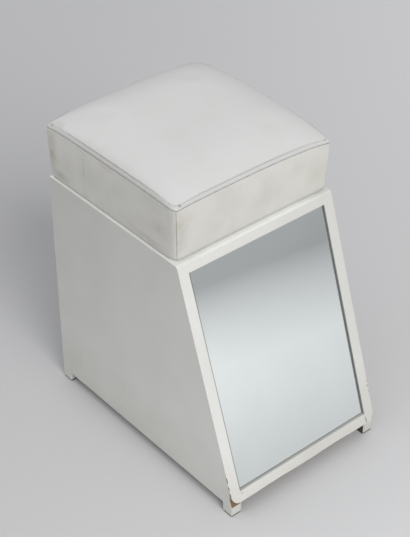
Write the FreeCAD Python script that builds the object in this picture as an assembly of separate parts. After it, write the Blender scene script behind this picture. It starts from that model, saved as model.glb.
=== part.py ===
import FreeCAD, Part
import math
import os

# Shoe fitting stool: a white painted box with a sloping mirror front and a fixed upholstered seat.
# Lengths are in millimetres. +X is to the right seen from the front, the mirror faces -Y, +Z is up,
# and the origin lies on the floor under the middle of the footprint.

# Box, overall
stool_width = 300.0
box_height = 400.0
top_depth = 305.0
base_depth = 432.0
side_floor_gap = 18.5
base_floor_gap = 25.5

# Boards and the lippings on their front edges
side_thickness = 18.0
board_thickness = 16.0
lipping_thickness = 6.0
nose_radius = 5.0
lipping_corner_radius = 16.0

# Mirror, what it is stuck to, and the battens behind
mirror_recess = 4.0
mirror_thickness = 4.0
mirror_side_clearance = 0.75
adhesive_thickness = 1.0
adhesive_strip_width = 22.0
backing_thickness = 6.0
backing_clearance = 0.4
batten_size = 15.0

# Dowels
dowel_diameter = 8.0
dowel_length = 32.0
dowel_in_side = 11.0
dowel_end_room = 1.0
dowel_chamfer = 1.0

# Glue blocks in the back corners
glue_block_size = 18.0
glue_block_length = 60.0

# Feet and the pads under them
foot_width = 20.0
glide_thickness = 2.5
glide_inset = 0.5
glide_corner_radius = 2.0

# Screws
small_screw_diameter = 3.0
small_screw_length = 16.0
batten_screw_diameter = 3.5
batten_screw_length = 25.0
seat_screw_diameter = 4.0
seat_screw_length = 25.0
foot_screw_diameter = 4.0
foot_screw_length = 35.0
screw_slot_width = 0.8
screw_slot_depth = 0.9

# Cushion
cushion_side_inset = 3.0
cushion_front_inset = 8.0
cushion_back_inset = 2.0
seam_height = 91.5
stitch_drop = 3.0
crown_rise = 25.0
lip_rise = 4.5
cushion_corner_radius = 16.0
belly_swell = 1.2
stitch_inset = 0.5
seam_inset = 6.0
lip_inset = 2.5
side_draw = 1.0
leather_thickness = 1.2
inner_lip_drop = 0.4
seat_board_thickness = 12.0
turn_under = 30.0
seat_screw_inset = 52.0

# Staples that hold the cover under the seat board
staple_crown = 10.0
staple_wire_width = 1.2
staple_wire_thickness = 0.6
staple_leg = 6.0
staple_edge_inset = 15.0
staple_pitch = 27.0

# Shares along the pieces that they follow
side_dowel_shares = (0.14, 0.5, 0.86)
back_dowel_shares = (0.12, 0.37, 0.63, 0.88)
batten_screw_shares = (0.2, 0.5, 0.8)
backing_screw_shares = (0.1, 0.37, 0.63, 0.9)
rail_screw_share = 0.45
adhesive_place_shares = (-0.62, 0.0, 0.62)
adhesive_length_share = 0.86
glue_block_place_share = 0.5
belly_height_shares = (0.3, 0.62)
shoulder_height_share = 0.86
crown_level_shares = (0.34, 0.58, 0.76, 0.88, 0.95, 0.99)
crown_square_share = 5.0
crown_flat_share = 0.5
crown_bow_share = 0.02
screw_head_share = 1.9
screw_taper_share = 1.5

os.makedirs("parts", exist_ok=True)

# Values that follow from the sizes above
inner_x = stool_width / 2 - side_thickness
back_y = base_depth / 2
back_inner_y = back_y - board_thickness
front_top_y = back_y - top_depth
slope_run = base_depth - top_depth
slope_rise = box_height - base_floor_gap
slope_length = math.hypot(slope_run, slope_rise)
slope_down = FreeCAD.Vector(0, -slope_run / slope_length, -slope_rise / slope_length)
slope_in = FreeCAD.Vector(0, slope_rise / slope_length, -slope_run / slope_length)
top_underside = box_height - board_thickness
bottom_topside = base_floor_gap + board_thickness
mirror_back = mirror_recess + mirror_thickness
backing_front = mirror_back + adhesive_thickness
backing_back = backing_front + backing_thickness
batten_back = backing_back + batten_size
batten_inner_x = inner_x - batten_size
cushion_width = stool_width - 2 * cushion_side_inset
cushion_depth = top_depth - cushion_front_inset - cushion_back_inset


# Places on the sloping front

def front_y(height, depth):
    """y of the plane that lies depth behind the sloping front, at a height above the floor."""
    drop = box_height - height
    return front_top_y - drop * slope_run / slope_rise + depth * slope_length / slope_rise


def on_slope(x, down, depth):
    """A point given by its distance down the slope from the top arris and its depth behind the front."""
    top = FreeCAD.Vector(x, front_top_y, box_height)
    return top + slope_down * down + slope_in * depth


def down_at(height, depth):
    """Distance down the slope at which the plane at that depth reaches a height."""
    return (box_height - height + slope_in.z * depth) / -slope_down.z


# Plain shapes

def box(low_x, high_x, low_y, high_y, low_z, high_z):
    size = (high_x - low_x, high_y - low_y, high_z - low_z)
    return Part.makeBox(size[0], size[1], size[2], FreeCAD.Vector(low_x, low_y, low_z))


def face_of(points):
    return Part.Face(Part.makePolygon(points + [points[0]]))


def prism(outline, low_x, high_x):
    """Extrudes a side-view outline of (y, z) points between two x."""
    points = [FreeCAD.Vector(low_x, y, z) for y, z in outline]
    return face_of(points).extrude(FreeCAD.Vector(high_x - low_x, 0, 0))


def slanted(low_z, high_z, low_depth, high_depth, low_x, high_x):
    """A piece between two heights and two depths behind the front, with level top and bottom faces."""
    outline = [
        (front_y(low_z, low_depth), low_z),
        (front_y(low_z, high_depth), low_z),
        (front_y(high_z, high_depth), high_z),
        (front_y(high_z, low_depth), high_z),
    ]
    return prism(outline, low_x, high_x)


def pane(half_width, low_depth, high_depth, clearance):
    """A square-edged panel parallel to the front, between the top and bottom boards."""
    first = down_at(top_underside, low_depth) + clearance
    last = down_at(bottom_topside, high_depth) - clearance
    points = [
        on_slope(-half_width, first, low_depth),
        on_slope(half_width, first, low_depth),
        on_slope(half_width, last, low_depth),
        on_slope(-half_width, last, low_depth),
    ]
    return face_of(points).extrude(slope_in * (high_depth - low_depth))


def mirrored(shape):
    return shape.mirror(FreeCAD.Vector(0, 0, 0), FreeCAD.Vector(1, 0, 0))


def both_sides(shape):
    return [shape, mirrored(shape)]


def turned_to(shape, place, direction):
    """Moves a shape that runs up from the origin so that it starts at place and runs along direction."""
    copy = shape.copy()
    rotation = FreeCAD.Rotation(FreeCAD.Vector(0, 0, 1), direction)
    copy.Placement = FreeCAD.Placement(place, rotation)
    return copy


def screw_body(diameter, length):
    """Countersunk screw without its slot; the flat of the head is at the origin and the point is up."""
    radius = diameter / 2
    head = radius * screw_head_share
    taper = diameter * screw_taper_share
    profile = [
        FreeCAD.Vector(0, 0, 0),
        FreeCAD.Vector(head, 0, 0),
        FreeCAD.Vector(radius, 0, head - radius),
        FreeCAD.Vector(radius, 0, length - taper),
        FreeCAD.Vector(0, 0, length),
    ]
    return face_of(profile).revolve(FreeCAD.Vector(0, 0, 0), FreeCAD.Vector(0, 0, 1), 360)


def screw(diameter, length):
    half_slot = screw_slot_width / 2
    slot = box(-diameter, diameter, -half_slot, half_slot, -screw_slot_depth, screw_slot_depth)
    return screw_body(diameter, length).cut(slot)


def dowel_body(diameter, length):
    return Part.makeCylinder(diameter / 2, length)


def dowel():
    body = dowel_body(dowel_diameter, dowel_length)
    rims = [edge for edge in body.Edges if edge.Curve.TypeId == "Part::GeomCircle"]
    return body.makeChamfer(dowel_chamfer, rims)


def save(name, shapes):
    """Writes one solid, or a group of separate solids, under the name of its node."""
    shape = shapes[0] if len(shapes) == 1 else Part.makeCompound(shapes)
    shape.exportStep("parts/" + name + ".step")
    print(name, len(shape.Solids), round(shape.Volume), shape.isValid())


# Fasteners: each list holds a place and a direction, and the same list drills the boards

def between(low, high, share):
    return low + (high - low) * share


top_middle_z = box_height - board_thickness / 2
bottom_middle_z = base_floor_gap + board_thickness / 2
back_middle_y = back_y - board_thickness / 2
outward = FreeCAD.Vector(1, 0, 0)
upward = FreeCAD.Vector(0, 0, 1)


def dowel_places():
    """Where each dowel of the right-hand side starts, in the end of the board that it holds."""
    start_x = inner_x - (dowel_length - dowel_in_side)
    places = []
    for middle_z in (top_middle_z, bottom_middle_z):
        for share in side_dowel_shares:
            y = between(front_y(middle_z, lipping_thickness), back_inner_y, share)
            places.append(FreeCAD.Vector(start_x, y, middle_z))
    for share in back_dowel_shares:
        z = between(base_floor_gap, box_height, share)
        places.append(FreeCAD.Vector(start_x, back_middle_y, z))
    return places


def dowel_holes():
    """Holes of the right-hand side, with room for glue past both ends of each dowel."""
    body = dowel_body(dowel_diameter, dowel_length + 2 * dowel_end_room)
    back_off = outward * dowel_end_room
    return [turned_to(body, place - back_off, outward) for place in dowel_places()]


def side_batten_screw_places():
    """Screws that hold the right-hand batten to the side, started at the batten's inner face."""
    depth = backing_back + batten_size / 2
    first = down_at(top_underside, depth)
    last = down_at(bottom_topside, depth)
    return [on_slope(batten_inner_x, between(first, last, share), depth) for share in batten_screw_shares]


def rail_batten_screw_places():
    """Screws up into the top board and down into the bottom board, each as a place and a direction."""
    depth = backing_back + batten_size / 2
    low = top_underside - batten_size
    high = bottom_topside + batten_size
    places = []
    for x in (-batten_inner_x * rail_screw_share, batten_inner_x * rail_screw_share):
        up_y = front_y(top_underside - batten_size / 2, depth)
        down_y = front_y(bottom_topside + batten_size / 2, depth)
        places.append((FreeCAD.Vector(x, up_y, low), upward))
        places.append((FreeCAD.Vector(x, down_y, high), -upward))
    return places


def backing_screw_places():
    """Screws through the backing board into the battens, started at the board's front face."""
    first = down_at(top_underside, backing_front)
    last = down_at(bottom_topside, backing_front)
    middle_x = inner_x - batten_size / 2
    places = []
    for share in backing_screw_shares:
        for x in (-middle_x, middle_x):
            places.append(on_slope(x, between(first, last, share), backing_front))
    places.append(on_slope(0, down_at(top_underside - batten_size / 2, backing_back), backing_front))
    places.append(on_slope(0, down_at(bottom_topside + batten_size / 2, backing_back), backing_front))
    return places


cushion_middle_y = back_y - cushion_back_inset - cushion_depth / 2
foot_screw_x = stool_width / 2 - side_thickness / 2
foot_front_y = front_y(side_floor_gap, lipping_thickness)
foot_middle_ys = {"front": foot_front_y + foot_width / 2, "back": back_y - foot_width / 2}


def seat_screw_places():
    reach_x = cushion_width / 2 - seat_screw_inset
    reach_y = cushion_depth / 2 - seat_screw_inset
    places = []
    for x in (-reach_x, reach_x):
        for y in (cushion_middle_y - reach_y, cushion_middle_y + reach_y):
            places.append(FreeCAD.Vector(x, y, top_underside))
    return places


def foot_screw_places():
    places = []
    for x in (-foot_screw_x, foot_screw_x):
        for y in foot_middle_ys.values():
            places.append(FreeCAD.Vector(x, y, glide_thickness))
    return places


def placed_all(body, places, direction):
    return [turned_to(body, place, direction) for place in places]


right_dowel_holes = dowel_holes()
all_dowel_holes = right_dowel_holes + [mirrored(hole) for hole in right_dowel_holes]
batten_body = screw_body(batten_screw_diameter, batten_screw_length)
side_batten_holes = placed_all(batten_body, side_batten_screw_places(), outward)
rail_batten_holes = [turned_to(batten_body, place, way) for place, way in rail_batten_screw_places()]
backing_holes = placed_all(
    screw_body(small_screw_diameter, small_screw_length), backing_screw_places(), slope_in)
seat_holes = placed_all(screw_body(seat_screw_diameter, seat_screw_length), seat_screw_places(), upward)
foot_holes = placed_all(screw_body(foot_screw_diameter, foot_screw_length), foot_screw_places(), upward)


# Box

def side_panel():
    """Right-hand side, drilled for its dowels and for the batten and foot screws."""
    outline = [
        (back_y, side_floor_gap),
        (back_y, box_height),
        (front_y(box_height, lipping_thickness), box_height),
        (front_y(side_floor_gap, lipping_thickness), side_floor_gap),
    ]
    panel = prism(outline, inner_x, stool_width / 2)
    return panel.cut(right_dowel_holes + side_batten_holes + foot_holes)


def level_board(low_z, high_z, holes):
    outline = [
        (front_y(low_z, lipping_thickness), low_z),
        (back_inner_y, low_z),
        (back_inner_y, high_z),
        (front_y(high_z, lipping_thickness), high_z),
    ]
    return prism(outline, -inner_x, inner_x).cut(holes)


def back_panel():
    panel = box(-inner_x, inner_x, back_inner_y, back_y, base_floor_gap, box_height)
    return panel.cut(all_dowel_holes)


def nosed_strip(low_z, low_x, high_x):
    """Lipping from low_z to the top of the box, its top front arris rounded to the nose radius."""
    front_top = FreeCAD.Vector(low_x, front_y(box_height, 0), box_height)
    half_turn = math.acos(-slope_down.y) / 2
    along = nose_radius / math.tan(math.pi / 2 - half_turn)
    on_top = front_top + FreeCAD.Vector(0, along, 0)
    on_front = front_top + slope_down * along
    centre = on_top - FreeCAD.Vector(0, 0, nose_radius)
    crest = centre + (front_top - centre).normalize() * nose_radius
    points = [
        on_front,
        FreeCAD.Vector(low_x, front_y(low_z, 0), low_z),
        FreeCAD.Vector(low_x, front_y(low_z, lipping_thickness), low_z),
        FreeCAD.Vector(low_x, front_y(box_height, lipping_thickness), box_height),
        on_top,
    ]
    edges = [Part.LineSegment(a, b).toShape() for a, b in zip(points, points[1:])]
    edges.append(Part.Arc(on_top, crest, on_front).toShape())
    return Part.Face(Part.Wire(edges)).extrude(FreeCAD.Vector(high_x - low_x, 0, 0))


def side_lipping():
    """Right-hand lipping: it runs the whole slope, and its lower outer corner is rounded."""
    outer_x = stool_width / 2
    radius = lipping_corner_radius
    diagonal = radius - radius / math.sqrt(2)
    corner = [
        on_slope(outer_x, slope_length - radius, 0),
        on_slope(outer_x - diagonal, slope_length - diagonal, 0),
        on_slope(outer_x - radius, slope_length, 0),
    ]
    start = -lipping_thickness
    edges = [Part.Arc(corner[0], corner[1], corner[2]).toShape()]
    outline = [
        corner[2],
        on_slope(inner_x, slope_length, 0),
        on_slope(inner_x, start, 0),
        on_slope(outer_x, start, 0),
        corner[0],
    ]
    edges += [Part.LineSegment(a, b).toShape() for a, b in zip(outline, outline[1:])]
    plate = Part.Face(Part.Wire(edges)).extrude(slope_in * lipping_thickness)
    return nosed_strip(base_floor_gap, inner_x, outer_x).common(plate)


def foot(row):
    """Right-hand foot, flush with the outside of the panel that it is screwed up into."""
    middle_y = foot_middle_ys[row]
    half = foot_width / 2
    outer_x = stool_width / 2
    block = box(outer_x - foot_width, outer_x, middle_y - half, middle_y + half,
                glide_thickness, side_floor_gap)
    return block.cut(foot_holes)


def glide(row):
    """Right-hand pad under a foot."""
    middle_y = foot_middle_ys[row]
    half = foot_width / 2 - glide_inset
    middle_x = stool_width / 2 - foot_width / 2
    pad = box(middle_x - half, middle_x + half, middle_y - half, middle_y + half, 0, glide_thickness)
    uprights = [edge for edge in pad.Edges if edge.tangentAt(0).x == 0 and edge.tangentAt(0).y == 0]
    return pad.makeFillet(glide_corner_radius, uprights)


def glue_blocks(corner_z, toward_z):
    """A pair of three-sided blocks in the corner between a level board and the back panel."""
    low_x = inner_x * glue_block_place_share - glue_block_length / 2
    outline = [
        (back_inner_y, corner_z),
        (back_inner_y, corner_z + glue_block_size * toward_z),
        (back_inner_y - glue_block_size, corner_z),
    ]
    return both_sides(prism(outline, low_x, low_x + glue_block_length))


def save_box():
    panel = side_panel()
    save("side_panel_right", [panel])
    save("side_panel_left", [mirrored(panel)])
    save("back_panel", [back_panel()])
    rail_holes = all_dowel_holes + rail_batten_holes
    save("top_board", [level_board(top_underside, box_height, rail_holes + seat_holes)])
    save("bottom_board", [level_board(base_floor_gap, bottom_topside, rail_holes)])
    lipping = side_lipping()
    save("lipping_right", [lipping])
    save("lipping_left", [mirrored(lipping)])
    save("lipping_top", [nosed_strip(top_underside, -inner_x, inner_x)])
    bottom_lipping = slanted(base_floor_gap, bottom_topside, 0, lipping_thickness, -inner_x, inner_x)
    save("lipping_bottom", [bottom_lipping])
    dowels = placed_all(dowel(), dowel_places(), outward)
    save("carcass_dowels_right", dowels)
    save("carcass_dowels_left", [mirrored(each) for each in dowels])
    save("glue_blocks_top", glue_blocks(top_underside, -1))
    save("glue_blocks_bottom", glue_blocks(bottom_topside, 1))
    for row in foot_middle_ys:
        save("foot_" + row + "_right", [foot(row)])
        save("foot_" + row + "_left", [mirrored(foot(row))])
        save("glide_" + row + "_right", [glide(row)])
        save("glide_" + row + "_left", [mirrored(glide(row))])
    foot_screw = screw(foot_screw_diameter, foot_screw_length)
    save("foot_screws", placed_all(foot_screw, foot_screw_places(), upward))


# Mirror front

def adhesive_strips():
    """Strips of mirror tape down the back of the glass."""
    first = down_at(top_underside, mirror_back)
    last = down_at(bottom_topside, mirror_back)
    middle = (first + last) / 2
    reach = (last - first) * adhesive_length_share / 2
    half = adhesive_strip_width / 2
    strips = []
    for share in adhesive_place_shares:
        x = inner_x * share
        points = [
            on_slope(x - half, middle - reach, mirror_back),
            on_slope(x + half, middle - reach, mirror_back),
            on_slope(x + half, middle + reach, mirror_back),
            on_slope(x - half, middle + reach, mirror_back),
        ]
        strips.append(face_of(points).extrude(slope_in * adhesive_thickness))
    return strips


def save_mirror():
    half_width = inner_x - mirror_side_clearance
    save("mirror_pane", [pane(half_width, mirror_recess, mirror_back, mirror_side_clearance)])
    save("mirror_tape", adhesive_strips())
    backing = pane(inner_x - backing_clearance, backing_front, backing_back, backing_clearance)
    save("mirror_backing_board", [backing.cut(backing_holes)])
    side = slanted(bottom_topside, top_underside, backing_back, batten_back, batten_inner_x, inner_x)
    side = side.cut(side_batten_holes + backing_holes)
    save("mirror_batten_right", [side])
    save("mirror_batten_left", [mirrored(side)])
    rails = {
        "mirror_batten_top": (top_underside - batten_size, top_underside),
        "mirror_batten_bottom": (bottom_topside, bottom_topside + batten_size),
    }
    for name, (low, high) in rails.items():
        rail = slanted(low, high, backing_back, batten_back, -batten_inner_x, batten_inner_x)
        save(name, [rail.cut(rail_batten_holes + backing_holes)])
    backing_screw = screw(small_screw_diameter, small_screw_length)
    save("backing_board_screws", placed_all(backing_screw, backing_screw_places(), slope_in))
    batten_screw = screw(batten_screw_diameter, batten_screw_length)
    side_screws = placed_all(batten_screw, side_batten_screw_places(), outward)
    rail_screws = [turned_to(batten_screw, place, way) for place, way in rail_batten_screw_places()]
    save("batten_screws", side_screws + [mirrored(each) for each in side_screws] + rail_screws)


# Cushion

def rounded_outline(half_x, half_y, radius, bow, height):
    """Closed outline round the cushion: four corner arcs, and four sides that bow out by bow, or in."""
    diagonal = radius - radius / math.sqrt(2)
    flat_x = half_x - radius
    flat_y = half_y - radius
    knots = []
    for turn_x, turn_y in ((1, -1), (1, 1), (-1, 1), (-1, -1)):
        beside = (turn_x * flat_x, turn_y * half_y)
        middle = (turn_x * (half_x - diagonal), turn_y * (half_y - diagonal))
        past = (turn_x * half_x, turn_y * flat_y)
        knots.append((beside, middle, past) if turn_x * turn_y < 0 else (past, middle, beside))
    side_middles = ((half_x + bow, 0), (0, half_y + bow), (-half_x - bow, 0), (0, -half_y - bow))
    edges = []
    for number, knot in enumerate(knots):
        following = knots[(number + 1) % len(knots)]
        for points in (knot, (knot[2], side_middles[number], following[0])):
            arc = [FreeCAD.Vector(x, cushion_middle_y + y, height) for x, y in points]
            edges.append(Part.Arc(arc[0], arc[1], arc[2]).toShape())
    return Part.Wire(edges)


def crown_half(half, level):
    """Half size of the crown's outline at a share of its rise: nearly square, flattening to the top."""
    reached = level ** (1 / crown_flat_share)
    return half * (1 - reached) ** (1 / crown_square_share)


def crown_radius(level):
    """Corner radius of the same outline, from where its diagonal meets the crown."""
    half = cushion_width / 2 - lip_inset
    reached = level ** (1 / crown_flat_share)
    along_diagonal = half * (1 - math.sqrt(reached)) ** (1 / crown_square_share)
    return (crown_half(half, level) - along_diagonal) / (1 - 1 / math.sqrt(2))


def cushion_sections(skin):
    """Rows of height, half sizes, corner radius and bow, from the seat board up, a skin inside the cover."""
    half_x = cushion_width / 2
    half_y = cushion_depth / 2
    board_top = leather_thickness + seat_board_thickness
    radius = cushion_corner_radius - skin
    lip_drop = inner_lip_drop if skin else 0
    rows = [(board_top, 0, 0)]
    rows += [(seam_height * share, -belly_swell, 0) for share in belly_height_shares]
    rows += [
        (seam_height * shoulder_height_share, 0, 0),
        (seam_height - stitch_drop, stitch_inset, skin),
        (seam_height, seam_inset, lip_drop),
        (seam_height + lip_rise, lip_inset, skin),
    ]
    sections = []
    for height, inset, drop in rows:
        shrink = inset + skin
        sections.append((height - drop, half_x - shrink, half_y - shrink, radius, -side_draw))
    for level in crown_level_shares:
        height = seam_height + lip_rise + crown_rise * level - skin
        across = crown_half(half_x - lip_inset, level) - skin
        along = crown_half(half_y - lip_inset, level) - skin
        sections.append((height, across, along, crown_radius(level), across * crown_bow_share))
    return sections


def cushion_loft(skin, first_sections):
    wires = []
    for height, across, along, radius, bow in first_sections + cushion_sections(skin):
        wires.append(rounded_outline(across, along, radius, bow, box_height + height))
    return Part.makeLoft(wires, True, True)


def cushion_plate(shrink, radius, low, high):
    """A flat plate with the cushion's outline, smaller all round by shrink."""
    across = cushion_width / 2 - shrink
    along = cushion_depth / 2 - shrink
    outline = rounded_outline(across, along, radius, -side_draw, box_height + low)
    return Part.Face(outline).extrude(FreeCAD.Vector(0, 0, high - low))


def staple():
    """A staple from below: its crown lies along X at the origin and its legs go up."""
    half = staple_crown / 2
    half_wire = staple_wire_width / 2
    crown = box(-half, half, -half_wire, half_wire, 0, staple_wire_thickness)
    for low_x in (-half, half - staple_wire_thickness):
        leg = box(low_x, low_x + staple_wire_thickness, -half_wire, half_wire, 0, staple_leg)
        crown = crown.fuse(leg)
    return crown.removeSplitter()


def staple_row(half_along, edge, turn):
    """Staples evenly spaced along one edge of the seat board; turn is in quarter turns."""
    count = int((half_along - turn_under) / staple_pitch)
    row = []
    for number in range(-count, count + 1):
        place = FreeCAD.Vector(number * staple_pitch, -edge, 0)
        rotation = FreeCAD.Rotation(FreeCAD.Vector(0, 0, 1), 90 * turn)
        copy = staple()
        centre = FreeCAD.Vector(0, cushion_middle_y, box_height)
        copy.Placement = FreeCAD.Placement(centre + rotation.multVec(place), rotation)
        row.append(copy)
    return row


def staples():
    across = cushion_width / 2
    along = cushion_depth / 2
    found = []
    for turn in range(4):
        half_along, half_other = (across, along) if turn % 2 == 0 else (along, across)
        found += staple_row(half_along, half_other - staple_edge_inset, turn)
    return found


def boxing_wedge(turn):
    """The quarter of the cushion, below the seam, that one boxing panel covers."""
    corners = ((-1, -1), (1, -1), (1, 1), (-1, 1))
    first = corners[turn]
    second = corners[(turn + 1) % len(corners)]
    low = box_height - leather_thickness
    points = [FreeCAD.Vector(0, cushion_middle_y, low)]
    for turn_x, turn_y in (first, second):
        points.append(FreeCAD.Vector(turn_x * cushion_width, cushion_middle_y + turn_y * cushion_depth, low))
    return face_of(points).extrude(FreeCAD.Vector(0, 0, seam_height + leather_thickness))


def save_cushion():
    board_top = leather_thickness + seat_board_thickness
    radius = cushion_corner_radius
    stapled = staples()
    seat_board = cushion_plate(leather_thickness, radius - leather_thickness, leather_thickness, board_top)
    foam = cushion_loft(leather_thickness, [])
    across = cushion_width / 2
    along = cushion_depth / 2
    outer = cushion_loft(0, [(0, across, along, radius, -side_draw)])
    opening = cushion_plate(turn_under, radius, 0, leather_thickness)
    leather = outer.cut([seat_board, foam, opening] + stapled)
    above = box(-stool_width, stool_width, -base_depth, base_depth,
                box_height + seam_height, box_height + seam_height + box_height)
    save("cover_top_panel", [leather.common(above)])
    for turn, name in enumerate(("front", "right", "back", "left")):
        save("cover_boxing_" + name, leather.common(boxing_wedge(turn)).Solids)
    save("seat_foam", [foam])
    save("seat_base_board", [seat_board.cut(seat_holes + stapled)])
    save("cover_staples", stapled)
    seat_screw = screw(seat_screw_diameter, seat_screw_length)
    save("seat_screws", placed_all(seat_screw, seat_screw_places(), upward))


save_box()
save_mirror()
save_cushion()
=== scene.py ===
# Shoe fitting stool: a white painted box with a sloping mirror front and a fixed leather cushion.
# Sizes in the dictionaries are millimetres, as in the CAD model; meshes are in metres, in its frame.
import bpy
import bmesh
import math
import numpy as np
from mathutils import Matrix, Vector


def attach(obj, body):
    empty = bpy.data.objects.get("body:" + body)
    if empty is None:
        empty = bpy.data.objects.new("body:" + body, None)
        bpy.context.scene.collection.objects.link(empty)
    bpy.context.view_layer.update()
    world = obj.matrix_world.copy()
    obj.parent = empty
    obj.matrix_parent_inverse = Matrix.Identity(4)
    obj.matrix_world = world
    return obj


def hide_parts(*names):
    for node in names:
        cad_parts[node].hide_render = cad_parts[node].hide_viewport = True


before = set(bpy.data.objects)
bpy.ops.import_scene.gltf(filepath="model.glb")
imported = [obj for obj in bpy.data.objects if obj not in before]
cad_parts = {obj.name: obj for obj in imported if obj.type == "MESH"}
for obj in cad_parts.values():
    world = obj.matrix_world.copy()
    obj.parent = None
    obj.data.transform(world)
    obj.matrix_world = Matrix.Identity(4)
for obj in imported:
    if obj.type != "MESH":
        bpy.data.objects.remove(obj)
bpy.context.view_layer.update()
mm = 0.001
root = "root"
print("frame loaded,", len(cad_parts), "nodes")


# Small helpers

def hexColour(text):  # an sRGB hex value as the linear numbers that Blender's sockets take
    parts = [int(text[i:i + 2], 16) / 255 for i in (1, 3, 5)]
    return tuple(p / 12.92 if p <= 0.04045 else ((p + 0.055) / 1.055) ** 2.4 for p in parts) + (1.0,)


def setNode(tree, node, values):
    # Sets a node's settings and sockets. A node or an output is linked to its socket, and a text on a socket
    # is a colour.
    for key, value in values.items():
        if isinstance(value, bpy.types.Node):
            value = value.outputs[0]
        if isinstance(value, bpy.types.NodeSocket):
            tree.links.new(value, node.inputs[key])
        elif isinstance(key, str) and hasattr(node, key):
            setattr(node, key, value)
        else:
            node.inputs[key].default_value = hexColour(value) if isinstance(value, str) else value


def addNode(tree, kind, values):  # one shader node, with its settings and what feeds it
    node = tree.nodes.new("ShaderNode" + kind)
    setNode(tree, node, values)
    return node


def newMaterial(name):  # an empty material, its tree, its Principled shader and the object's own coordinates
    material = bpy.data.materials.new(name)
    material.use_nodes = True
    tree = material.node_tree
    shader = tree.nodes["Principled BSDF"]
    place = tree.nodes.new("ShaderNodeTexCoord").outputs["Object"]
    return material, tree, shader, place


def perMetre(size):  # how many times a pattern of that many millimetres repeats in a metre
    return 1000 / size


def spot(tree, place, centre, radii):  # 1 at a centre, fading to 0 on an ellipsoid; sizes in millimetres
    middle = [c * mm for c in centre]
    shrink = [1 / (r * mm) for r in radii]
    apart = addNode(tree, "VectorMath", {"operation": "SUBTRACT", 0: place, 1: middle})
    scaled = addNode(tree, "VectorMath", {"operation": "MULTIPLY", 0: apart, 1: shrink})
    far = addNode(tree, "VectorMath", {"operation": "LENGTH", 0: scaled}).outputs["Value"]
    return addNode(tree, "MapRange", {"interpolation_type": "SMOOTHSTEP", "Value": far, "From Min": 1.0,
                                      "From Max": 0.0})


def outlineRing(corners, radii, inset, steps=5):
    # A closed outline moved in by inset. Each corner is an arc: its centre lies on the corner's bisector,
    # at the larger of the radius and the inset, and its radius is what the inset leaves of the radius.
    corner = np.array(corners, float)
    radius = np.ones(len(corner)) * radii
    area = np.sum(corner[:, 0] * np.roll(corner[:, 1], -1) - corner[:, 1] * np.roll(corner[:, 0], -1))
    if area < 0:
        corner, radius = corner[::-1], radius[::-1]
    before = corner - np.roll(corner, 1, 0)
    after = np.roll(corner, -1, 0) - corner
    before /= np.linalg.norm(before, axis=1)[:, None]
    after /= np.linalg.norm(after, axis=1)[:, None]
    inwards = np.stack([-before[:, 1] - after[:, 1], before[:, 0] + after[:, 0]], 1)
    bisector = inwards / (1 + np.sum(before * after, 1))[:, None]
    centre = corner + np.maximum(radius, inset)[:, None] * bisector
    start = np.arctan2(-before[:, 0], before[:, 1])
    turn = np.arctan2(before[:, 0] * after[:, 1] - before[:, 1] * after[:, 0], np.sum(before * after, 1))
    angle = start[:, None] + turn[:, None] * np.linspace(0, 1, steps)
    arcs = np.stack([np.cos(angle), np.sin(angle)], 2) * np.maximum(radius - inset, 0)[:, None, None]
    return (centre[:, None] + arcs).reshape(-1, 2)


def slabRings(corners, radii, low, high, edge, steps=5):
    # A slab between two levels: its outline, and quarter arcs of the edge radius along both faces.
    angle = np.linspace(0, math.pi / 2, 4)
    insets = edge * (1 - np.sin(angle))
    levels = edge * (1 - np.cos(angle))
    insets = np.concatenate([insets, insets[::-1]])
    levels = np.concatenate([low + levels, (high - levels)[::-1]])
    rings = [np.insert(outlineRing(corners, radii, i, steps), 2, w, axis=1) for i, w in zip(insets, levels)]
    return np.stack(rings)


def skinRings(rings):  # quads between neighbouring rings, and a flat cap on the first and the last
    count, around = rings.shape[:2]
    index = np.arange(count * around).reshape(count, around)
    beside = np.roll(index, -1, 1)
    quads = np.stack([index[:-1], beside[:-1], beside[1:], index[1:]], -1).reshape(-1, 4)
    return rings.reshape(-1, 3), quads.tolist() + [index[0][::-1].tolist(), index[-1].tolist()]


def addPiece(name, points, faces, finish, standsFor=(), values=None):
    # A closed mesh from points in millimetres; doubles are merged and all faces turned outwards.
    mesh = bpy.data.meshes.new(name)
    mesh.from_pydata((np.asarray(points) * mm).tolist(), [], faces)
    for key, numbers in (values or {}).items():
        mesh.attributes.new(key, "FLOAT", "POINT").data.foreach_set("value", np.asarray(numbers, np.float32))
    work = bmesh.new()
    work.from_mesh(mesh)
    bmesh.ops.remove_doubles(work, verts=work.verts, dist=2e-6)
    bmesh.ops.recalc_face_normals(work, faces=work.faces)
    work.to_mesh(mesh)
    work.free()
    mesh.polygons.foreach_set("use_smooth", np.ones(len(mesh.polygons), bool))
    piece = bpy.data.objects.new(name, mesh)
    bpy.context.collection.objects.link(piece)
    mesh.materials.append(finish)
    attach(piece, root)
    if standsFor:
        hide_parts(*standsFor)
    return piece


def addFlatPiece(name, rings, finish, sign=1):
    # A piece of flat faces from its rings, mirrored where the sign is -1. The big faces keep their own
    # normal, and the small arcs blend between them.
    points, faces = skinRings(rings)
    piece = addPiece(name, points * (sign, 1, 1), faces, finish, [name])
    modifier = piece.modifiers.new("even shading", "WEIGHTED_NORMAL")
    modifier.weight = 80


def rectangle(x, y, halfX, halfY):  # the four corners round a middle
    return [(x + a * halfX, y + b * halfY) for a, b in ((-1, -1), (1, -1), (1, 1), (-1, 1))]


# The box's sizes and its slope

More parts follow.
